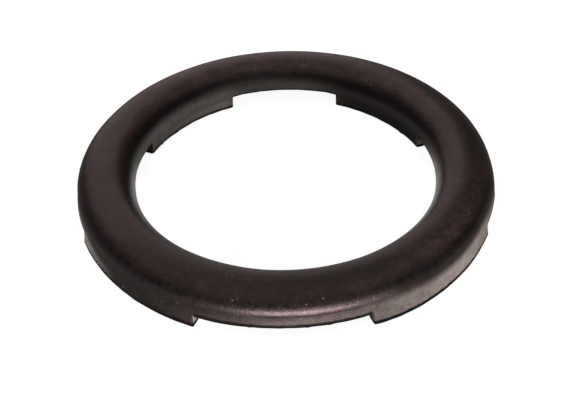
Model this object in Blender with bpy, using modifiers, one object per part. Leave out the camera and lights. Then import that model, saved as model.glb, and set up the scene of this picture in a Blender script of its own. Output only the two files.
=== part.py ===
"""Coil spring insulator: one moulded rubber ring with a domed back and four bearing lugs.

Metres, +Z up. The ring rests on its lugs, dome upwards, with the origin on its axis at
the height of the faces that it rests on.
"""

import bmesh
import bpy
from math import acos, cos, pi, radians, sin, tan

# Driving dimensions of the ring. The crest lies a little nearer to the bore than mid-dome.
OUTER_DIAMETER = 0.1400
SECTION_WIDTH = 0.01975
HEIGHT = 0.0144
CREST_SHIFT = 0.0007

# Outer wall: it leans in as it rises from its lip to the shoulder, where the dome begins
SHOULDER_HEIGHT = 0.0081
OUTER_DRAFT = radians(9.0)

# Bore wall: nearly upright, and lower than the outer one
BORE_WALL_HEIGHT = 0.0052
BORE_DRAFT = radians(3.0)

# Lower lips of the walls: crisp outside, fuller at the bore
OUTER_LIP_ROUNDING = 0.0009
BORE_LIP_ROUNDING = 0.0016

# Coil seat: a wide, shallow hollow in the underside, between two flat lands
SEAT_WIDTH = 0.0128
SEAT_DEPTH = 0.0018

# Lugs: the angle of each one's middle, from +X towards +Y, and the angle that it spans
LUG_MIDDLES = (radians(44.3), radians(134.3), radians(223.8), radians(313.4))
LUG_SPANS = (radians(45.0), radians(45.1), radians(44.6), radians(45.7))

# Gaps between the lugs: height of their roof above the resting face, at each wall
ROOF_HEIGHT_OUTER = 0.0042
ROOF_HEIGHT_BORE = 0.0048
ROOF_ROUNDING = 0.0007

# Fineness of the surface
RING_STEPS = 96
DOME_STEPS = 10
EDGE_STEPS = 4
SEAT_STEPS = 6
GAP_STEPS = 12

# How far a cutter passes the faces that it cuts
CUTTER_MARGIN = 0.004

SHARP_ANGLE = radians(32)
MERGE_DISTANCE = 0.00001

RUBBER_COLOUR = (0.030, 0.024, 0.023, 1.0)
RUBBER_ROUGHNESS = 0.62

# Sizes that follow from the ones above
OUTER_RADIUS = OUTER_DIAMETER / 2
BORE_RADIUS = OUTER_RADIUS - SECTION_WIDTH
SEAT_RADIUS = (OUTER_RADIUS + BORE_RADIUS) / 2
SEAT_HOLLOW_RADIUS = ((SEAT_WIDTH / 2) ** 2 + SEAT_DEPTH ** 2) / (2 * SEAT_DEPTH)


def clear_scene():
    for item in list(bpy.data.objects):
        bpy.data.objects.remove(item, do_unlink=True)


def make_collection(name):
    collection = bpy.data.collections.new(name)
    bpy.context.scene.collection.children.link(collection)
    return collection


def make_rubber():
    material = bpy.data.materials.new("black_rubber")
    material.use_nodes = True
    shader = material.node_tree.nodes["Principled BSDF"]
    shader.inputs["Base Color"].default_value = RUBBER_COLOUR
    shader.inputs["Roughness"].default_value = RUBBER_ROUGHNESS
    shader.inputs["Metallic"].default_value = 0.0
    return material


def outer_wall_radius(height):
    return OUTER_RADIUS - (height - OUTER_LIP_ROUNDING) * tan(OUTER_DRAFT)


def bore_wall_radius(height):
    return BORE_RADIUS + (height - BORE_LIP_ROUNDING) * tan(BORE_DRAFT)


def arc(centre, reach, start, end, steps):
    """Points (radius, height) along an elliptical arc, with both of its ends."""
    points = []
    for step in range(steps + 1):
        angle = start + (end - start) * step / steps
        points.append((centre[0] + reach[0] * cos(angle), centre[1] + reach[1] * sin(angle)))
    return points


def lug_section():
    """Section through a lug: down the outer side, in along the underside and up the bore."""
    shoulder = outer_wall_radius(SHOULDER_HEIGHT)
    bore_top = bore_wall_radius(BORE_WALL_HEIGHT)
    crest = (shoulder + bore_top) / 2 - CREST_SHIFT
    outer_round = (OUTER_LIP_ROUNDING, OUTER_LIP_ROUNDING)
    bore_round = (BORE_LIP_ROUNDING, BORE_LIP_ROUNDING)
    seat_centre = (SEAT_RADIUS, SEAT_DEPTH - SEAT_HOLLOW_RADIUS)
    seat_round = (SEAT_HOLLOW_RADIUS, SEAT_HOLLOW_RADIUS)
    seat_edge = acos(SEAT_WIDTH / 2 / SEAT_HOLLOW_RADIUS)

    outer_dome = arc((crest, SHOULDER_HEIGHT), (shoulder - crest, HEIGHT - SHOULDER_HEIGHT),
                     pi / 2, 0, DOME_STEPS)
    outer_lip = arc((OUTER_RADIUS - OUTER_LIP_ROUNDING, OUTER_LIP_ROUNDING), outer_round,
                    0, -pi / 2, EDGE_STEPS)
    seat = arc(seat_centre, seat_round, seat_edge, pi - seat_edge, SEAT_STEPS)
    bore_lip = arc((BORE_RADIUS + BORE_LIP_ROUNDING, BORE_LIP_ROUNDING), bore_round,
                   -pi / 2, -pi, EDGE_STEPS)
    bore_dome = arc((crest, BORE_WALL_HEIGHT), (crest - bore_top, HEIGHT - BORE_WALL_HEIGHT),
                    pi, pi / 2, DOME_STEPS)
    return outer_dome + outer_lip + seat + bore_lip + bore_dome[:-1]


def gap_section():
    """Section of the space under a gap's roof, past both walls, anticlockwise seen from -Y."""
    outside = OUTER_RADIUS + CUTTER_MARGIN
    inside = BORE_RADIUS - CUTTER_MARGIN
    rounding = (ROOF_ROUNDING, ROOF_ROUNDING)
    outer_centre = (outer_wall_radius(ROOF_HEIGHT_OUTER) - ROOF_ROUNDING,
                    ROOF_HEIGHT_OUTER + ROOF_ROUNDING)
    bore_centre = (bore_wall_radius(ROOF_HEIGHT_BORE) + ROOF_ROUNDING,
                   ROOF_HEIGHT_BORE + ROOF_ROUNDING)

    floor = [(inside, -CUTTER_MARGIN), (outside, -CUTTER_MARGIN)]
    outer_side = [(outside, outer_centre[1])]
    outer_edge = arc(outer_centre, rounding, 0, -pi / 2, EDGE_STEPS)
    bore_edge = arc(bore_centre, rounding, -pi / 2, -pi, EDGE_STEPS)
    bore_side = [(inside, bore_centre[1])]
    return floor + outer_side + outer_edge + bore_edge + bore_side


def turned_ring(name, section, collection):
    """A closed section turned once round the Z axis."""
    mesh = bpy.data.meshes.new(name)
    vertices = [(radius, 0.0, height) for radius, height in section]
    edges = [(index, (index + 1) % len(section)) for index in range(len(section))]
    mesh.from_pydata(vertices, edges, [])
    ring = bpy.data.objects.new(name, mesh)
    collection.objects.link(ring)
    screw = ring.modifiers.new("turn", "SCREW")
    screw.angle = 2 * pi
    screw.steps = RING_STEPS
    screw.render_steps = RING_STEPS
    screw.use_merge_vertices = True
    screw.merge_threshold = MERGE_DISTANCE
    return ring


def turned_sector(name, section, start, sweep, collection):
    """A closed section turned through part of a circle, from one angle round to the next."""
    mesh = bpy.data.meshes.new(name)
    shape = bmesh.new()
    corners = []
    for radius, height in section:
        corners.append(shape.verts.new((radius * cos(start), radius * sin(start), height)))
    face = shape.faces.new(corners)
    bmesh.ops.spin(shape, geom=[face], axis=(0, 0, 1), cent=(0, 0, 0), angle=sweep,
                   steps=GAP_STEPS, use_duplicate=False)
    bmesh.ops.recalc_face_normals(shape, faces=shape.faces)
    shape.to_mesh(mesh)
    shape.free()
    sector = bpy.data.objects.new(name, mesh)
    collection.objects.link(sector)
    sector.display_type = "WIRE"
    sector.hide_render = True
    return sector


def gap_spans():
    """Start and sweep of each gap: from the end of one lug to the start of the next."""
    count = len(LUG_MIDDLES)
    spans = []
    for index in range(count):
        following = (index + 1) % count
        start = LUG_MIDDLES[index] + LUG_SPANS[index] / 2
        end = LUG_MIDDLES[following] - LUG_SPANS[following] / 2
        spans.append((start, (end - start) % (2 * pi)))
    return spans


def cut(target, cutters):
    for cutter in cutters:
        boolean = target.modifiers.new("cut_" + cutter.name, "BOOLEAN")
        boolean.operation = "DIFFERENCE"
        boolean.solver = "EXACT"
        boolean.object = cutter


def settle(item):
    """Keep the shape that the modifiers give, smooth but for its true edges."""
    bpy.context.view_layer.update()
    graph = bpy.context.evaluated_depsgraph_get()
    item.data = bpy.data.meshes.new_from_object(item.evaluated_get(graph))
    item.modifiers.clear()
    item.data.shade_smooth()
    item.data.set_sharp_from_angle(angle=SHARP_ANGLE)


def build():
    clear_scene()
    parts = make_collection("coil_spring_insulator")
    cutters = make_collection("cutters")

    ring = turned_ring("insulator_ring", lug_section(), parts)
    gaps = []
    for number, (start, sweep) in enumerate(gap_spans(), 1):
        gaps.append(turned_sector(f"gap_{number}", gap_section(), start, sweep, cutters))
    cut(ring, gaps)
    settle(ring)
    ring.data.materials.clear()
    ring.data.materials.append(make_rubber())


build()
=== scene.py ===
"""Coil spring insulator: a moulded black rubber ring, seen from above its front.

Metres, +Z up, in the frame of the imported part: the ring rests on its lugs on the floor.
"""

from math import acos, asin, cos, pi, radians, sin, tan

import bpy
import numpy as np
from mathutils import Matrix, Vector, noise


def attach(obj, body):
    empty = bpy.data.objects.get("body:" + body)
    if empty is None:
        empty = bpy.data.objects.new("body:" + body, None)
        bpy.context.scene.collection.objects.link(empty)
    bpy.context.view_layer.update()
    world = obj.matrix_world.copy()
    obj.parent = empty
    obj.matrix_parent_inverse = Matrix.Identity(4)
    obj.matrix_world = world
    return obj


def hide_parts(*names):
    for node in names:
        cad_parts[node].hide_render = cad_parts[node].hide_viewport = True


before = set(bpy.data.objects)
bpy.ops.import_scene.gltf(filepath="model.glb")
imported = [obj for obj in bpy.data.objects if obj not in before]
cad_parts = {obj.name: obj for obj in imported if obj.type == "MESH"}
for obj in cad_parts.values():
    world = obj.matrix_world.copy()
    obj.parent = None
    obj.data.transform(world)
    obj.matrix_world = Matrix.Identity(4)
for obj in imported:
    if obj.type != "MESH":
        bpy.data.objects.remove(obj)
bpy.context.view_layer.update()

# Section of the ring: an outer wall that leans in, a domed back and a nearly upright bore wall
OUTER_RADIUS = 0.0700
BORE_RADIUS = 0.05025
HEIGHT = 0.0144
CREST_SHIFT = 0.0007
SHOULDER_HEIGHT = 0.0081
OUTER_DRAFT = radians(9.0)
BORE_WALL_HEIGHT = 0.0052
BORE_DRAFT = radians(3.0)
OUTER_LIP_ROUNDING = 0.0009
BORE_LIP_ROUNDING = 0.0016

# Coil seat in the underside
SEAT_RADIUS = (OUTER_RADIUS + BORE_RADIUS) / 2
SEAT_WIDTH = 0.0128
SEAT_DEPTH = 0.0018
SEAT_HOLLOW_RADIUS = ((SEAT_WIDTH / 2) ** 2 + SEAT_DEPTH ** 2) / (2 * SEAT_DEPTH)

# Lugs and the gaps between them
LUG_MIDDLES = (radians(44.3), radians(134.3), radians(223.8), radians(313.4))
LUG_SPANS = (radians(45.0), radians(45.1), radians(44.6), radians(45.7))
ROOF_HEIGHT_OUTER = 0.0042
ROOF_HEIGHT_BORE = 0.0048
ROOF_ROUNDING = 0.0007

# Soft joint between the outer wall and the dome: heights where it starts and ends
JOINT_LOW = 0.0068
JOINT_TOP = 0.0094

# Roundings at the lugs' ends, the lean of the end faces, and how far below the back the outline of
# an end face starts to be set in by its rounding
END_ROUNDING = 0.00035
END_FILLET = 0.0005
END_LEAN = 0.00012
INSET_FADE = 0.0009

# Fineness of the surface along the ring: steps where it faces the front and elsewhere, where the
# fine ones start and end, and how many steps long the last step of a stretch may be
FINE_STEP = radians(0.33)
COARSE_STEP = radians(0.80)
FINE_START = radians(184)
FINE_END = radians(356)
LONGEST_LAST_STEP = 1.5

# Steps round the section, from the crest down the outer side, under and up the bore side, and
# across a lug's end
CREST_STEPS = 18
SHOULDER_STEPS = 10
SHOULDER_REACH = radians(30)
JOINT_STEPS = 12
WALL_STEPS = 4
OUTER_SIDE_STEPS = 8
OUTER_LIP_STEPS = 6
LAND_STEPS = 3
SEAT_STEPS = 10
BORE_LIP_STEPS = 7
BORE_SIDE_STEPS = 6
BORE_DOME_STEPS = 26
END_STEPS = 3
FACE_STEPS = 6
FILLET_STEPS = 3

# Parting line: the dome overhangs the wall, for the stretch of the front where the mould met badly
PARTING_HEIGHT = 0.0086
PARTING_STEP = 0.00016
PARTING_SOFTNESS = 0.00012
PARTING_START = radians(262.5)
PARTING_END = radians(291)
PARTING_FADE = radians(3)

# Flash nubs under the gaps' outer edge: angle round the ring
NUBS = (radians(190.6), radians(195.3), radians(198.7), radians(260.25), radians(274.15),
        radians(279.5), radians(341.0), radians(350.5), radians(6.0), radians(81.0), radians(104.0))
NUB_DROP = 0.00032
NUB_HALF_WIDTH = 0.00055

# Nubs that stick out into the hole at the lugs' lower edge, as big as the others
BORE_NUBS = (radians(140.45), radians(150.1), radians(33.0), radians(229.0), radians(318.0))

# How far the moulding is out of round: keys of degrees round the ring and metres, outwards at the
# outer wall and into the hole at the bore
OUTER_SWELL = ((0, -0.0001), (20, 0.0), (35, 0.0002), (50, 0.00035), (70, 0.0002), (95, 0.0),
               (135, 0.0001), (150, -0.0001), (165, 0.0001), (185, 0.00015), (200, 0.0),
               (225, -0.0001), (240, 0.0), (262, 0.0001), (275, 0.0), (290, -0.0001),
               (297, 0.0003), (308, 0.0002), (318, 0.0), (331, -0.0001), (341, 0.0001),
               (348, 0.00035), (354, 0.0001))
BORE_SWELL = ((0, 0.0001), (20, 0.0002), (45, 0.0003), (66, 0.0002), (72, -0.0002), (90, 0.0),
              (108, -0.0001), (114, 0.0002), (140, 0.00025), (160, 0.0001), (175, 0.0),
              (190, 0.0003), (250, 0.0003), (262, 0.0001), (290, 0.0), (345, 0.0001))

# The front gap's roof hangs lower beside the lug on its left
ROOF_SAG = 0.0003
ROOF_SAG_ANGLE = radians(251)
ROOF_SAG_SPREAD = radians(7)

# A nick in the outer wall where the front gap meets the lug on its right
NICK_ANGLE = radians(290.2)
NICK_SPREAD = radians(0.55)
NICK_DEPTH = 0.00045
NICK_TOP = 0.0068

# Unevenness of the moulded edges, as far in from the walls as it reaches, and of the whole surface
EDGE_WAVE = 0.00012
EDGE_WAVE_LENGTH = 0.0035
EDGE_WAVE_SEED = 7.7
EDGE_WAVE_REACH = 0.0022
SURFACE_WAVE = 0.00005
SURFACE_WAVE_LENGTH = 0.011
SURFACE_WAVE_SEED = 3.1

# How far down a face looks, as a part of its normal: where it starts to count as underside, and
# where it fully does
UNDERSIDE = (0.15, 0.75)

# Keeps a division by a length from failing where the length is zero
TINY = 1e-12

# Grey bloom on the outer wall and the bore's, with painted light: walls and rims that face the
# lamps are painted paler and those that face away darker. Keys of degrees round the ring and
# strengths, blended from one to the next, like all the keys below
OUTER_BLOOM_AND_LIGHT = ((0, 0.25), (120, 0.20), (180, 0.50), (193, 0.95), (205, 0.95), (213, 0.34),
               (221, 0.0), (238, 0.01), (248, 0.04), (262, 0.07), (275, 0.12), (286, 0.13),
               (292, 0.18), (300, 0.33), (308, 0.42), (318, 0.66), (328, 0.60), (338, 0.48))
BORE_BLOOM_AND_LIGHT = ((5, 0.4), (14, 0.1), (20, 0.0), (62, 0.02), (80, 0.5), (108, 0.5), (114, 1.0),
              (145, 1.0), (157, 0.9), (186, 0.9), (197, 0.4), (212, 0.12), (318, 0.2),
              (335, 0.9), (350, 1.0))

# Heights from which the bloom and painted light fade upwards, and how far above them they are gone
OUTER_BLOOM_TOP = ((0, 0.0045), (199, 0.0048), (211, 0.0024), (222, 0.0018), (244, 0.0042),
                   (256, 0.0064), (290, 0.0068), (304, 0.0058), (318, 0.0050), (332, 0.0064))
OUTER_BLOOM_FADE = 0.0036
BORE_BLOOM_TOP = 0.0066
BORE_BLOOM_FADE = ((0, 0.0054), (30, 0.0042), (185, 0.0042), (205, 0.0034), (250, 0.0034),
                   (310, 0.0042), (335, 0.0054))

# Bloom and painted light on the lugs' end faces, paler on faces turned to the lamps, and what
# counts as
# an end face: the shares of a gap's section between which it starts and ends, and how far below the
# roof it is full
END_BLOOM_AND_LIGHT = ((20, 0.60), (65, 0.12), (200, 0.12), (240, 0.85), (252, 0.85), (285, 0.10),
             (330, 0.15))
END_FACE_START = (0.02, 0.12)
END_FACE_STOP = (0.88, 0.98)
END_FACE_TOP = 0.0004

# Height up to which the bore bloom fades out towards the bottom, round the ring
BORE_BLOOM_FOOT = ((0, 0.0005), (112, 0.0042), (130, 0.0048), (157, 0.0054), (165, 0.0005))

# Strength of the dust and painted top light on the dome, round the ring
DUST_AND_TOP_LIGHT_STRENGTH = ((0, 1.10), (20, 1.25), (35, 1.25), (50, 1.05), (70, 1.0), (95, 1.05),
                 (120, 1.15), (150, 1.10), (195, 0.95), (210, 0.74), (225, 0.58), (245, 0.42),
                 (285, 0.42), (305, 0.66), (318, 1.05), (330, 1.30), (345, 1.20))

# How far up a face looks, as a part of its normal: where the dust and painted top light start,
# outside and at the bore, and where they are full
OUTER_DUST_AND_LIGHT_LOW = ((0, 0.64), (20, 0.50), (45, 0.52), (65, 0.68), (200, 0.72), (270, 0.68),
                  (300, 0.78), (330, 0.76), (345, 0.74))
BORE_DUST_AND_LIGHT_LOW = ((0, 0.28), (45, 0.36), (75, 0.42), (105, 0.56), (135, 0.54), (180, 0.54),
                 (195, 0.80), (225, 0.86), (255, 0.84), (300, 0.74), (345, 0.50))
DUST_AND_LIGHT_HIGH = 0.95

# Painted shade along the lower edges of the lugs and of the gaps' roofs, where the rubber turns
# under:
# its height at the lugs' outer and bore lips and at the roofs, and the shares of that height over
# which it fades and by which it wanders up and down
OUTER_EDGE = 0.00165
BORE_EDGE = 0.00140
ROOF_EDGE = 0.00130
BORE_ROOF_EDGE = 0.00075
EDGE_SOFTNESS = 0.30
EDGE_WANDER = 0.10

# Shares of a gap's section over which the line moves up from the lugs to the roofs, and the most
# line heights above the edge that are told apart
ROOF_SHARES = (0.9, 1.0)
LIFT_LIMIT = 4

# Rubber: linear colours, and the shader's constants
RUBBER_DARK = (0.0010, 0.0010, 0.0009, 1)
RUBBER_LIGHT = (0.0085, 0.0064, 0.0060, 1)
DUST_AND_TOP_LIGHT_COLOUR = (0.078, 0.051, 0.046, 1)
BLOOM_AND_LIGHT_COLOUR = (0.350, 0.338, 0.298, 1)
# Near-black colour of the painted shade along the lower edges
EDGE_SHADE_COLOUR = (0.0012, 0.0010, 0.0010, 1)
SPECK_COLOUR = (0.22, 0.19, 0.17, 1)
SPECULAR_LEVEL = 0.50
SPECULAR_TINT = (1.0, 0.83, 0.83, 1)
SHEEN_WEIGHT = 0.03
SHEEN_ROUGHNESS = 0.35
SHEEN_TINT = (1.0, 0.86, 0.80, 1)

# Noise in the rubber, coarse to fine: waves per metre, detail, roughness and distortion
CLOUD_NOISE = (90, 3.0, 0.6, 0.6)
CURL_NOISE = (150, 5.0, 0.7, 0.9)
PATCH_NOISE = (420, 3.0, 0.6, 0.4)
WANDER_NOISE = (900, 2.0)
GRAIN_NOISE = (1500, 2.0, 0.7)

# The part of each noise's values that is spread out to 0 to 1
NOISE_RANGE = (0.3, 0.7)
CURL_RANGE = (0.36, 0.66)
GRAIN_RANGE = (0.34, 0.66)
MOTTLE_RANGE = (0.22, 0.78)

# Weights of clouds, patches and grain in the mottling
MOTTLE_WEIGHTS = (0.30, 0.34, 0.36)

# Dust and painted top light as an even film and as marks, and the bloom and painted light where the
# mottling is dark and light
DUST_FILM = 0.20
DUST_MARKS = 0.62
BLOOM_MOTTLE = (0.62, 1.13)

# Pale specks: cells per metre, size in cells, its share where a speck is full, and the share of
# cells without one
SPECK_SCALE = 620
SPECK_SIZE = 0.19
SPECK_CORE = 0.5
SPECKLESS_SHARE = 0.90

# Roughness from smooth to rough spots, what the bloom and painted light add to it, and its share on
# the painted shade line
ROUGHNESS = (0.30, 0.46)
BLOOM_ROUGHNESS = 0.1
EDGE_ROUGHNESS = 0.5

# Weights of patches and grain in the roughness, and of grain and patches in the relief, with the
# relief's strength and its depth in metres
ROUGH_WEIGHTS = (0.5, 0.5)
RELIEF_WEIGHTS = (0.6, 0.4)
RELIEF_STRENGTH = 0.7
RELIEF_DEPTH = 0.00006

# Camera: the point that it looks at, its distance, height and lean, and its lens in millimetres
CAMERA_TARGET = Vector((-0.00035, -0.00742, 0.0))
CAMERA_DISTANCE = 0.33383
CAMERA_ELEVATION = radians(40.277)
CAMERA_ROLL = radians(-1.815)
CAMERA_LENS = 62.95
SENSOR_WIDTH = 36.0

# Floor: white to the camera, and in reflections as bright as its painted pools of light
FLOOR_REACH = 3.0
FLOOR_COLOUR = (0.50, 0.50, 0.49, 1)
FLOOR_ROUGHNESS = 0.9
FLOOR_GLOW = 0.92

# Painted pool of light in front of the ring, seen only in reflections and left out next to the ring
# as
# painted shade: the way it lies, how far that way it rises to full, the radii between which it
# begins, and its strength
FRONT_POOL_AZIMUTH = radians(282)
FRONT_POOL_RISE = (0.0, 0.12)
FRONT_POOL_RADII = (0.0705, 0.0790)
FRONT_POOL = 0.40

# Painted pool of light in the hole, seen only in reflections: the radii between which it begins,
# and its strength
HOLE_POOL_RADII = (0.0440, 0.0400)
HOLE_POOL = 0.38

# Painted pools of light at the left and right of the hole, seen only in reflections: where they
# begin from the back (y), from the middle (x either way), from the ring (radius) and from the front
# (along a slant), and their strength
SIDE_POOL_BACK = (0.021, 0.012)
SIDE_POOL_MIDDLE = (0.028, 0.040)
SIDE_POOL_RADII = (0.0505, 0.0480)
SIDE_POOL_SLANT = (0.27, 1.0, 0)
SIDE_POOL_FRONT = (-0.018, -0.010)
SIDE_POOL = 1.00

# World: white to the camera, and this bright to all other rays
WORLD_STRENGTH = 0.06
WHITE = (1, 1, 1, 1)

# Lamps, all at one distance from the middle of the ring: name, azimuth, elevation, width, height,
# brightness of the face, where 1 is white, and colour
LAMP_DISTANCE = 1.2
LAMP_WHITE = (1.0, 1.0, 1.0)
LAMP_WARM = (1.0, 0.87, 0.85)
LAMP_ROSY = (1.0, 0.86, 0.87)
LAMPS = (
    ("front_low", radians(275), radians(1.45), 0.96, 0.060, 154.0, LAMP_ROSY),
    ("front_mid", radians(272), radians(6.5), 0.70, 0.17, 1.2, LAMP_ROSY),
    ("front_fill", radians(300), radians(20), 0.90, 0.36, 0.95, LAMP_WHITE),
    ("back_low", radians(103), radians(10), 1.10, 0.40, 0.85, LAMP_WARM),
    ("back_high", radians(110), radians(40), 1.40, 0.60, 0.80, LAMP_WARM),
    ("overhead", radians(190), radians(86), 1.30, 2.00, 0.34, LAMP_WHITE),
)


def outer_wall(height):
    """Radius of the outer wall at a height."""
    return OUTER_RADIUS - (height - OUTER_LIP_ROUNDING) * tan(OUTER_DRAFT)


def bore_wall(height):
    """Radius of the bore wall at a height."""
    return BORE_RADIUS + (height - BORE_LIP_ROUNDING) * tan(BORE_DRAFT)


def smooth_step(low, high, values):
    """0 at low and before it, 1 at high and beyond it, and smooth between them."""
    parts = np.clip((values - low) / (high - low), 0, 1)
    return parts * parts * (3 - 2 * parts)


def arc(centre, reach, start, end, steps):
    """Points (radius, height) along an elliptical arc, without its first one."""
    turns = start + (end - start) * np.arange(1, steps + 1) / steps
    return np.stack([centre[0] + reach[0] * np.cos(turns), centre[1] + reach[1] * np.sin(turns)], 1)


def line(start, end, steps):
    """Points (radius, height) along a straight line, without its first one."""
    parts = (np.arange(1, steps + 1) / steps)[:, None]
    return np.array(start) * (1 - parts) + np.array(end) * parts


def sweep(start, start_slope, end, end_slope, steps):
    """Points on a smooth curve that leaves and arrives along two directions, without its first."""
    start, end = np.array(start), np.array(end)
    pull = np.linalg.norm(end - start) / 3
    leave = start + pull * np.array(start_slope) / np.linalg.norm(start_slope)
    arrive = end - pull * np.array(end_slope) / np.linalg.norm(end_slope)
    part = (np.arange(1, steps + 1) / steps)[:, None]
    rest = 1 - part
    return (rest ** 3 * start + 3 * rest ** 2 * part * leave + 3 * rest * part ** 2 * arrive
            + part ** 3 * end)


def section_parts():
    """The back, which all sections share, and the underside of a lug and of a gap's roof."""
    shoulder = outer_wall(SHOULDER_HEIGHT)
    bore_top = bore_wall(BORE_WALL_HEIGHT)
    crest = (shoulder + bore_top) / 2 - CREST_SHIFT
    outer_joint = ROOF_HEIGHT_OUTER + ROOF_ROUNDING
    bore_joint = ROOF_HEIGHT_BORE + ROOF_ROUNDING
    outer_reach = (shoulder - crest, HEIGHT - SHOULDER_HEIGHT)
    bore_reach = (crest - bore_top, HEIGHT - BORE_WALL_HEIGHT)
    bore_turn = pi - asin((bore_joint - BORE_WALL_HEIGHT) / bore_reach[1])

    joint_turn = asin((JOINT_TOP - SHOULDER_HEIGHT) / outer_reach[1])
    dome_end = (crest + outer_reach[0] * cos(joint_turn), JOINT_TOP)
    dome_slope = (outer_reach[0] * sin(joint_turn), -outer_reach[1] * cos(joint_turn))
    wall_top = (outer_wall(JOINT_LOW), JOINT_LOW)
    outer_back = np.concatenate([
        [(crest, HEIGHT)],
        arc((crest, SHOULDER_HEIGHT), outer_reach, pi / 2, SHOULDER_REACH, CREST_STEPS),
        arc((crest, SHOULDER_HEIGHT), outer_reach, SHOULDER_REACH, joint_turn, SHOULDER_STEPS),
        sweep(dome_end, dome_slope, wall_top, (tan(OUTER_DRAFT), -1), JOINT_STEPS),
        line(wall_top, (outer_wall(outer_joint), outer_joint), WALL_STEPS),
    ])
    bore_back = arc((crest, BORE_WALL_HEIGHT), bore_reach, bore_turn, pi / 2, BORE_DOME_STEPS)[:-1]
    bore_start = (crest + bore_reach[0] * cos(bore_turn), bore_joint)

    seat_edge = acos(SEAT_WIDTH / 2 / SEAT_HOLLOW_RADIUS)
    seat_half = SEAT_WIDTH / 2
    outer_lip = (OUTER_RADIUS - OUTER_LIP_ROUNDING, OUTER_LIP_ROUNDING)
    bore_lip = (BORE_RADIUS + BORE_LIP_ROUNDING, BORE_LIP_ROUNDING)
    lug = np.concatenate([
        line(outer_back[-1], (OUTER_RADIUS, OUTER_LIP_ROUNDING), OUTER_SIDE_STEPS),
        arc(outer_lip, (OUTER_LIP_ROUNDING, OUTER_LIP_ROUNDING), 0, -pi / 2, OUTER_LIP_STEPS),
        line((outer_lip[0], 0), (SEAT_RADIUS + seat_half, 0), LAND_STEPS),
        arc((SEAT_RADIUS, SEAT_DEPTH - SEAT_HOLLOW_RADIUS),
            (SEAT_HOLLOW_RADIUS, SEAT_HOLLOW_RADIUS), seat_edge, pi - seat_edge, SEAT_STEPS),
        line((SEAT_RADIUS - seat_half, 0), (bore_lip[0], 0), LAND_STEPS),
        arc(bore_lip, (BORE_LIP_ROUNDING, BORE_LIP_ROUNDING), -pi / 2, -pi, BORE_LIP_STEPS),
        line((BORE_RADIUS, BORE_LIP_ROUNDING), bore_start, BORE_SIDE_STEPS),
    ])

    roof = 2 * LAND_STEPS + SEAT_STEPS
    edge = (ROOF_ROUNDING, ROOF_ROUNDING)
    outer_edge = (outer_wall(outer_joint) - ROOF_ROUNDING, outer_joint)
    bore_edge = (bore_start[0] + ROOF_ROUNDING, bore_joint)
    gap = np.concatenate([
        arc(outer_edge, edge, 0, -pi / 2, OUTER_SIDE_STEPS + OUTER_LIP_STEPS),
        line((outer_edge[0], ROOF_HEIGHT_OUTER), (bore_edge[0], ROOF_HEIGHT_BORE), roof),
        arc(bore_edge, edge, -pi / 2, -pi, BORE_LIP_STEPS + BORE_SIDE_STEPS),
    ])
    return outer_back, bore_back, lug, gap


def inward(points):
    """Unit vectors into the rubber, square to an outline that runs down, in and up."""
    along = np.gradient(points, axis=0)
    along /= np.linalg.norm(along, axis=1)[:, None]
    return np.stack([along[:, 1], -along[:, 0]], 1)


def plain_run(start, end):
    """Angles between two others, closer together where the ring faces the front."""
    angles = []
    angle = start
    while True:
        fine = FINE_START < angle % (2 * pi) < FINE_END
        step = FINE_STEP if fine else COARSE_STEP
        if angle + LONGEST_LAST_STEP * step > end:
            return angles
        angle += step
        angles.append(angle)


def stations():
    """Rows (angle, share of gap, share of end rounding) once round the ring."""
    drop = END_FILLET / ROOF_HEIGHT_OUTER
    rise = []

    # From a lug to a roof: the lug's rounding, its end face and the fillet under the roof
    for step in range(END_STEPS + 1):
        turn = step / END_STEPS * pi / 2
        rise.append((-END_ROUNDING * (1 - sin(turn)) / SEAT_RADIUS, 0.0, 1 - cos(turn)))
    for step in range(1, FACE_STEPS + 1):
        part = step / FACE_STEPS
        rise.append((END_LEAN * part / SEAT_RADIUS, part * (1 - drop), 1.0))
    for step in range(1, FILLET_STEPS + 1):
        turn = step / FILLET_STEPS * pi / 2
        out = END_LEAN + END_FILLET * (1 - cos(turn))
        rise.append((out / SEAT_RADIUS, 1 - drop * (1 - sin(turn)), 1.0))
    margin = rise[-1][0]
    lead = -rise[0][0]

    rows = []
    count = len(LUG_MIDDLES)
    for index in range(count):
        start = LUG_MIDDLES[index] - LUG_SPANS[index] / 2
        end = LUG_MIDDLES[index] + LUG_SPANS[index] / 2
        following = (index + 1) % count
        following_start = LUG_MIDDLES[following] - LUG_SPANS[following] / 2
        if following_start < end:
            following_start += 2 * pi
        rows += [(start - angle, share, rounding) for angle, share, rounding in reversed(rise)]
        rows += [(angle, 0.0, 0.0) for angle in plain_run(start + lead, end - lead)]
        rows += [(end + angle, share, rounding) for angle, share, rounding in rise]
        rows += [(angle, 1.0, 1.0) for angle in plain_run(end + margin, following_start - margin)]
    return np.array(rows)


def near(angles, middle, half_width):
    """Bell weights of angles about a middle one, the shorter way round."""
    apart = (angles - middle + pi) % (2 * pi) - pi
    return np.exp(-(apart / half_width) ** 2)


def within(angles, start, end, fade):
    """Weights of angles that are 1 between two others, with soft ends."""
    turned = angles % (2 * pi)
    begun = smooth_step(start - fade, start + fade, turned)
    return begun * (1 - smooth_step(end - fade, end + fade, turned))


def blended(keys, angles):
    """Values between the keys (degrees, value) round the ring."""
    degrees = np.degrees(angles) % 360
    return np.interp(degrees, [key[0] for key in keys], [key[1] for key in keys], period=360)


def wave(points, length, seed):
    """Smooth noise from -1 to 1 at points in space, for a wave length in metres."""
    offset = Vector((seed, -seed, 0.5 * seed))
    flat = points.reshape(-1, 3) / length
    values = [noise.noise(Vector(place) + offset) for place in flat.tolist()]
    return np.array(values).reshape(points.shape[:-1])


def in_space(section, turn):
    """Places of points (radius, height) that are turned round the ring's axis."""
    radius = section[..., 0]
    return np.stack([radius * np.cos(turn), radius * np.sin(turn), section[..., 1]], -1)


def wall_distance(section):
    """How far a point is in from the nearer of the two walls' feet."""
    return np.minimum(OUTER_RADIUS - section[..., 0], section[..., 0] - BORE_RADIUS)


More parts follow.
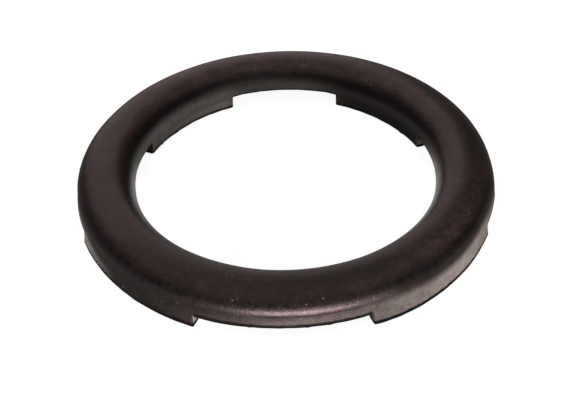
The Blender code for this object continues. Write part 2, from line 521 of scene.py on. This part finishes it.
def shading_values(turn, height, share, outer_side, upward):
    """What the material reads: height over the painted shade line, bloom with painted light, and
    dust with painted top light.
    """
    roof = np.where(outer_side, ROOF_HEIGHT_OUTER, ROOF_HEIGHT_BORE)
    above = height - smooth_step(*ROOF_SHARES, share) * roof
    shade_line_height = (np.where(outer_side, OUTER_EDGE, BORE_EDGE) * (1 - share)
                   + np.where(outer_side, ROOF_EDGE, BORE_ROOF_EDGE) * share)
    lift = np.clip(above / shade_line_height, 0, LIFT_LIMIT)

    # Bloom with painted light: faces turned to the lamps are painted paler
    bloom_and_light = np.where(outer_side, blended(OUTER_BLOOM_AND_LIGHT, turn), blended(BORE_BLOOM_AND_LIGHT, turn))
    top = np.where(outer_side, blended(OUTER_BLOOM_TOP, turn), BORE_BLOOM_TOP)
    fade = np.where(outer_side, OUTER_BLOOM_FADE, blended(BORE_BLOOM_FADE, turn))
    bloom_and_light = bloom_and_light * (1 - smooth_step(top, top + fade, height))
    faded_foot = ~outer_side * (1 - smooth_step(0, blended(BORE_BLOOM_FOOT, turn), height))
    bloom_and_light = bloom_and_light * (1 - faded_foot)
    bloom_and_light = bloom_and_light * (1 - smooth_step(*UNDERSIDE, -upward))
    end_face = smooth_step(*END_FACE_START, share) * (1 - smooth_step(*END_FACE_STOP, share))
    end_face = end_face * smooth_step(0.0, END_FACE_TOP, ROOF_HEIGHT_BORE - height)
    bloom_and_light = bloom_and_light * (1 - end_face) + blended(END_BLOOM_AND_LIGHT, turn) * end_face

    # Dust with painted top light: faces that look up are painted paler
    dust_low = np.where(outer_side, blended(OUTER_DUST_AND_LIGHT_LOW, turn), blended(BORE_DUST_AND_LIGHT_LOW, turn))
    dust_and_top_light = smooth_step(dust_low, DUST_AND_LIGHT_HIGH, upward) * blended(DUST_AND_TOP_LIGHT_STRENGTH, turn)
    return {"lift": lift, "bloom_and_light": bloom_and_light, "dust_and_top_light": dust_and_top_light}


def ring_shape():
    """Places and shading values over a grid: a row for each station, each down, in, up and back."""
    outer_back, bore_back, lug, gap = section_parts()
    reach = np.concatenate([[0], np.cumsum(np.linalg.norm(np.diff(lug, axis=0), axis=1))])
    fade = smooth_step(0, INSET_FADE, reach) * smooth_step(0, INSET_FADE, reach[-1] - reach)
    inset = inward(lug) * (END_ROUNDING * fade)[:, None]

    rows = stations()
    angles = rows[:, 0]
    share = rows[:, 1, None]
    under = (lug + inset * rows[:, 2, None, None]) * (1 - share[..., None]) + gap * share[..., None]
    count = len(rows)
    section = np.concatenate([
        np.repeat(outer_back[None], count, 0), under, np.repeat(bore_back[None], count, 0)], 1)
    turn = np.repeat(angles[:, None], section.shape[1], 1)

    along = np.roll(section, -1, 1) - np.roll(section, 1, 1)
    along /= np.linalg.norm(along, axis=2)[..., None] + TINY
    outward = np.stack([-along[..., 1], along[..., 0]], 2)
    outer_side = section[..., 0] > SEAT_RADIUS
    height = section[..., 1].copy()
    facing_down = smooth_step(*UNDERSIDE, -outward[..., 1])
    shades = shading_values(turn, height, share, outer_side, outward[..., 1])

    # Unevenness of the surface and of the lower edges
    places = in_space(section, turn)
    push = SURFACE_WAVE * wave(places, SURFACE_WAVE_LENGTH, SURFACE_WAVE_SEED)
    low_edge = facing_down * smooth_step(EDGE_WAVE_REACH, 0, wall_distance(section))
    edge_wave = wave(places * (1, 1, 0), EDGE_WAVE_LENGTH, EDGE_WAVE_SEED)
    push += EDGE_WAVE * low_edge * edge_wave

    # Parting line: the wall below it is set back, less so towards the roof
    set_back = within(turn, PARTING_START, PARTING_END, PARTING_FADE)
    below = outer_side * (1 - smooth_step(PARTING_HEIGHT - PARTING_SOFTNESS,
                                          PARTING_HEIGHT + PARTING_SOFTNESS, height))
    fading = smooth_step(ROOF_HEIGHT_OUTER, PARTING_HEIGHT, height)
    push -= PARTING_STEP * set_back * below * fading

    # Nick in the wall
    nick = NICK_DEPTH * near(turn, NICK_ANGLE, NICK_SPREAD) * outer_side
    push -= nick * (1 - smooth_step(ROOF_HEIGHT_OUTER, NICK_TOP, height))
    section = section + outward * push[..., None]

    # Out of round, and the low stretch of the front gap's roof
    side = (section[..., 0] - SEAT_RADIUS) / (OUTER_RADIUS - SEAT_RADIUS)
    section[..., 0] += blended(OUTER_SWELL, turn) * smooth_step(0, 1, side)
    section[..., 0] -= blended(BORE_SWELL, turn) * smooth_step(0, 1, -side)
    sag = ROOF_SAG * near(turn, ROOF_SAG_ANGLE, ROOF_SAG_SPREAD)
    section[..., 1] -= sag * outer_side * share * facing_down

    # Flash nubs
    for middle in NUBS:
        weight = near(turn, middle, NUB_HALF_WIDTH / OUTER_RADIUS) * outer_side * share
        section[..., 1] -= NUB_DROP * weight * low_edge
    for middle in BORE_NUBS:
        weight = near(turn, middle, NUB_HALF_WIDTH / BORE_RADIUS) * ~outer_side * (1 - share)
        section[..., 0] -= NUB_DROP * weight * low_edge

    section[..., 1] = np.maximum(section[..., 1], 0)
    return in_space(section, turn), shades


def closed_mesh(name, grid, shades):
    """A mesh of four-sided faces over a grid that closes on itself both ways."""
    rows, columns = grid.shape[:2]
    index = np.arange(rows * columns).reshape(rows, columns)
    right = np.roll(index, -1, 0)
    faces = np.stack([index, np.roll(index, -1, 1), np.roll(right, -1, 1), right], 2).reshape(-1, 4)
    mesh = bpy.data.meshes.new(name)
    mesh.from_pydata(grid.reshape(-1, 3).tolist(), [], faces.tolist())
    mesh.validate()
    mesh.update()
    mesh.shade_smooth()
    for label, values in shades.items():
        layer = mesh.attributes.new(label, "FLOAT", "POINT")
        layer.data.foreach_set("value", values.astype(np.float32).ravel())
    return mesh


class Nodes:
    """Short calls for building the nodes of a material or a world."""

    def __init__(self, owner, shader="Principled BSDF"):
        owner.use_nodes = True
        self.nodes = owner.node_tree.nodes
        self.links = owner.node_tree.links
        self.shader = self.nodes[shader]

    def put(self, socket, value):
        if isinstance(value, bpy.types.NodeSocket):
            self.links.new(value, socket)
        else:
            socket.default_value = value

    def add(self, kind, inputs=None, **settings):
        node = self.nodes.new("ShaderNode" + kind)
        for name, value in settings.items():
            setattr(node, name, value)
        for key, value in (inputs or {}).items():
            self.put(node.inputs[key], value)
        return node

    def maths(self, operation, first, second=0.0, clamp=False):
        node = self.add("Math", {0: first, 1: second}, operation=operation, use_clamp=clamp)
        return node.outputs[0]

    def weighted(self, values, weights):
        """The sum of values, each times its weight."""
        parts = [self.maths("MULTIPLY", value, weight) for value, weight in zip(values, weights)]
        total = parts.pop()
        while parts:
            total = self.maths("ADD", parts.pop(), total)
        return total

    def mix(self, share, first, second):
        """A colour between two. The node's colour sockets come after those for other kinds."""
        node = self.add("Mix", data_type="RGBA")
        self.put(node.inputs["Factor"], share)
        self.put(node.inputs[6], first)
        self.put(node.inputs[7], second)
        return node.outputs[2]

    def spread(self, value, low, high, to_low=0.0, to_high=1.0, kind="LINEAR"):
        """A value moved from one range to another, and held inside it."""
        node = self.add("MapRange", {"Value": value, "From Min": low, "From Max": high,
                                     "To Min": to_low, "To Max": to_high},
                        interpolation_type=kind)
        return node.outputs["Result"]

    def noise(self, place, scale, detail=2.0, roughness=0.5, distortion=0.0):
        node = self.add("TexNoise", {"Vector": place, "Scale": scale, "Detail": detail,
                                     "Roughness": roughness, "Distortion": distortion})
        return node.outputs["Fac"]

    def along(self, place, direction):
        """How far a place lies along a direction."""
        node = self.add("VectorMath", {0: place, 1: direction}, operation="DOT_PRODUCT")
        return node.outputs["Value"]

    def attribute(self, name):
        return self.add("Attribute", attribute_name=name).outputs["Fac"]


def make_rubber():
    material = bpy.data.materials.new("moulded_rubber")
    tree = Nodes(material)
    place = tree.add("TexCoord").outputs["Object"]
    bloom_and_light = tree.attribute("bloom_and_light")
    # Painted shade along the lower edges: full up to its line's height, gone a share of it above
    wander = tree.spread(tree.noise(place, *WANDER_NOISE), *NOISE_RANGE, -EDGE_WANDER, EDGE_WANDER)
    lift = tree.maths("ADD", tree.attribute("lift"), wander)
    edge = tree.spread(lift, 1 + EDGE_SOFTNESS, 1.0)

    cloud = tree.spread(tree.noise(place, *CLOUD_NOISE), *NOISE_RANGE)
    patch = tree.spread(tree.noise(place, *PATCH_NOISE), *NOISE_RANGE)
    grain = tree.spread(tree.noise(place, *GRAIN_NOISE), *GRAIN_RANGE)
    curls = tree.spread(tree.noise(place, *CURL_NOISE), *CURL_RANGE)
    mottle = tree.spread(tree.weighted((cloud, patch, grain), MOTTLE_WEIGHTS), *MOTTLE_RANGE)
    colour = tree.mix(mottle, RUBBER_DARK, RUBBER_LIGHT)

    # Dust and painted top light, as an even film and as marks
    marks = tree.maths("MULTIPLY", curls, mottle)
    film = tree.maths("ADD", DUST_FILM, tree.maths("MULTIPLY", marks, DUST_MARKS))
    dust_and_top_light = tree.maths("MULTIPLY", tree.attribute("dust_and_top_light"), film)
    colour = tree.mix(dust_and_top_light, colour, DUST_AND_TOP_LIGHT_COLOUR)
    # Bloom with painted light over the mottled colour
    mottled = tree.spread(mottle, 0.0, 1.0, *BLOOM_MOTTLE)
    colour = tree.mix(tree.maths("MULTIPLY", bloom_and_light, mottled, clamp=True), colour, BLOOM_AND_LIGHT_COLOUR)

    cells = tree.add("TexVoronoi", {"Vector": place, "Scale": SPECK_SCALE})
    dot = tree.spread(cells.outputs["Distance"], SPECK_SIZE, SPECK_CORE * SPECK_SIZE)
    draw = tree.add("SeparateColor", {"Color": cells.outputs["Color"]}).outputs["Red"]
    speck = tree.maths("MULTIPLY", dot, tree.maths("GREATER_THAN", draw, SPECKLESS_SHARE))
    colour = tree.mix(tree.maths("MULTIPLY", speck, cloud), colour, SPECK_COLOUR)
    # The painted shade along the lower edges lies over all other colours
    colour = tree.mix(edge, colour, EDGE_SHADE_COLOUR)
    tree.put(tree.shader.inputs["Base Color"], colour)

    rough = tree.spread(tree.weighted((patch, grain), ROUGH_WEIGHTS), 0.0, 1.0, *ROUGHNESS)
    rough = tree.maths("ADD", rough, tree.maths("MULTIPLY", bloom_and_light, BLOOM_ROUGHNESS))
    rough = tree.maths("MULTIPLY", rough, tree.spread(edge, 0.0, 1.0, 1.0, EDGE_ROUGHNESS))
    tree.put(tree.shader.inputs["Roughness"], rough)
    tree.shader.inputs["Specular IOR Level"].default_value = SPECULAR_LEVEL
    tree.shader.inputs["Specular Tint"].default_value = SPECULAR_TINT
    tree.shader.inputs["Sheen Weight"].default_value = SHEEN_WEIGHT
    tree.shader.inputs["Sheen Roughness"].default_value = SHEEN_ROUGHNESS
    tree.shader.inputs["Sheen Tint"].default_value = SHEEN_TINT

    relief = tree.weighted((grain, patch), RELIEF_WEIGHTS)
    bump = tree.add("Bump", {"Strength": RELIEF_STRENGTH, "Distance": RELIEF_DEPTH,
                             "Height": relief})
    tree.put(tree.shader.inputs["Normal"], bump.outputs["Normal"])
    return material


def make_ring():
    mesh = closed_mesh("insulator_rubber", *ring_shape())
    ring = bpy.data.objects.new("insulator_rubber", mesh)
    bpy.context.scene.collection.objects.link(ring)
    mesh.materials.append(make_rubber())
    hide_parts("insulator_ring")
    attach(ring, "root")


def floor_pools(tree):
    """How bright the floor looks in reflections: the brightest of its painted pools of light at
    each place.
    """
    place = tree.add("TexCoord").outputs["Object"]
    radius = tree.add("VectorMath", {0: place}, operation="LENGTH").outputs["Value"]
    towards = (cos(FRONT_POOL_AZIMUTH), sin(FRONT_POOL_AZIMUTH), 0)
    front = tree.spread(tree.along(place, towards), *FRONT_POOL_RISE, kind="SMOOTHSTEP")
    front = tree.maths("MULTIPLY", front, tree.spread(radius, *FRONT_POOL_RADII, 0.0, FRONT_POOL))
    hole = tree.spread(radius, *HOLE_POOL_RADII, 0.0, HOLE_POOL)
    split = tree.add("SeparateXYZ", {0: place}).outputs
    apart = tree.maths("ABSOLUTE", split["X"])
    sides = tree.maths("MULTIPLY", tree.spread(split["Y"], *SIDE_POOL_BACK),
                       tree.spread(apart, *SIDE_POOL_MIDDLE))
    sides = tree.maths("MULTIPLY", sides, tree.spread(radius, *SIDE_POOL_RADII, 0.0, SIDE_POOL))
    slant = tree.along(place, SIDE_POOL_SLANT)
    sides = tree.maths("MULTIPLY", sides, tree.spread(slant, *SIDE_POOL_FRONT))
    return tree.maths("MAXIMUM", tree.maths("MAXIMUM", front, hole), sides)


def make_floor():
    mesh = bpy.data.meshes.new("floor")
    half = FLOOR_REACH
    mesh.from_pydata([(-half, -half, 0), (half, -half, 0), (half, half, 0), (-half, half, 0)],
                     [], [(0, 1, 2, 3)])
    floor = bpy.data.objects.new("floor", mesh)
    bpy.context.scene.collection.objects.link(floor)
    material = bpy.data.materials.new("white_table")
    tree = Nodes(material)
    tree.shader.inputs["Base Color"].default_value = FLOOR_COLOUR
    tree.shader.inputs["Roughness"].default_value = FLOOR_ROUGHNESS
    path = tree.add("LightPath").outputs
    reflected = tree.maths("MAXIMUM", path["Is Glossy Ray"], path["Is Transmission Ray"])
    reflected = tree.maths("MULTIPLY", reflected, floor_pools(tree))
    seen = tree.maths("MAXIMUM", path["Is Camera Ray"], reflected)
    tree.shader.inputs["Emission Color"].default_value = WHITE
    tree.put(tree.shader.inputs["Emission Strength"], tree.maths("MULTIPLY", seen, FLOOR_GLOW))
    mesh.materials.append(material)


def make_world():
    world = bpy.data.worlds.new("studio")
    bpy.context.scene.world = world
    tree = Nodes(world, "Background")
    tree.shader.inputs["Color"].default_value = WHITE
    seen = tree.add("LightPath").outputs["Is Camera Ray"]
    tree.put(tree.shader.inputs["Strength"], tree.maths("MAXIMUM", seen, WORLD_STRENGTH))


def make_lamp(name, azimuth, elevation, width, height, brightness, colour):
    """A soft rectangular lamp that shines on the middle of the ring."""
    data = bpy.data.lights.new(name, "AREA")
    data.shape = "RECTANGLE"
    data.size = width
    data.size_y = height
    data.energy = brightness * pi * width * height
    data.color = colour
    lamp = bpy.data.objects.new(name, data)
    bpy.context.scene.collection.objects.link(lamp)
    flat = LAMP_DISTANCE * cos(elevation)
    lamp.location = (flat * cos(azimuth), flat * sin(azimuth), LAMP_DISTANCE * sin(elevation))
    lamp.rotation_euler = Vector(lamp.location).to_track_quat("Z", "Y").to_euler()


def make_camera():
    data = bpy.data.cameras.new("camera")
    data.lens = CAMERA_LENS
    data.sensor_fit = "HORIZONTAL"
    data.sensor_width = SENSOR_WIDTH
    camera = bpy.data.objects.new("camera", data)
    bpy.context.scene.collection.objects.link(camera)
    back = Vector((0, -cos(CAMERA_ELEVATION), sin(CAMERA_ELEVATION)))
    right = Vector((1, 0, 0))
    up = back.cross(right)
    rolled_right = cos(CAMERA_ROLL) * right + sin(CAMERA_ROLL) * up
    rolled_up = -sin(CAMERA_ROLL) * right + cos(CAMERA_ROLL) * up
    place = CAMERA_TARGET + back * CAMERA_DISTANCE
    turn = Matrix((rolled_right, rolled_up, back)).transposed().to_4x4()
    camera.matrix_world = Matrix.Translation(place) @ turn
    bpy.context.scene.camera = camera


make_camera()
make_ring()
make_floor()
make_world()
for lamp in LAMPS:
    make_lamp(*lamp)
bpy.context.scene.view_settings.view_transform = "Standard"
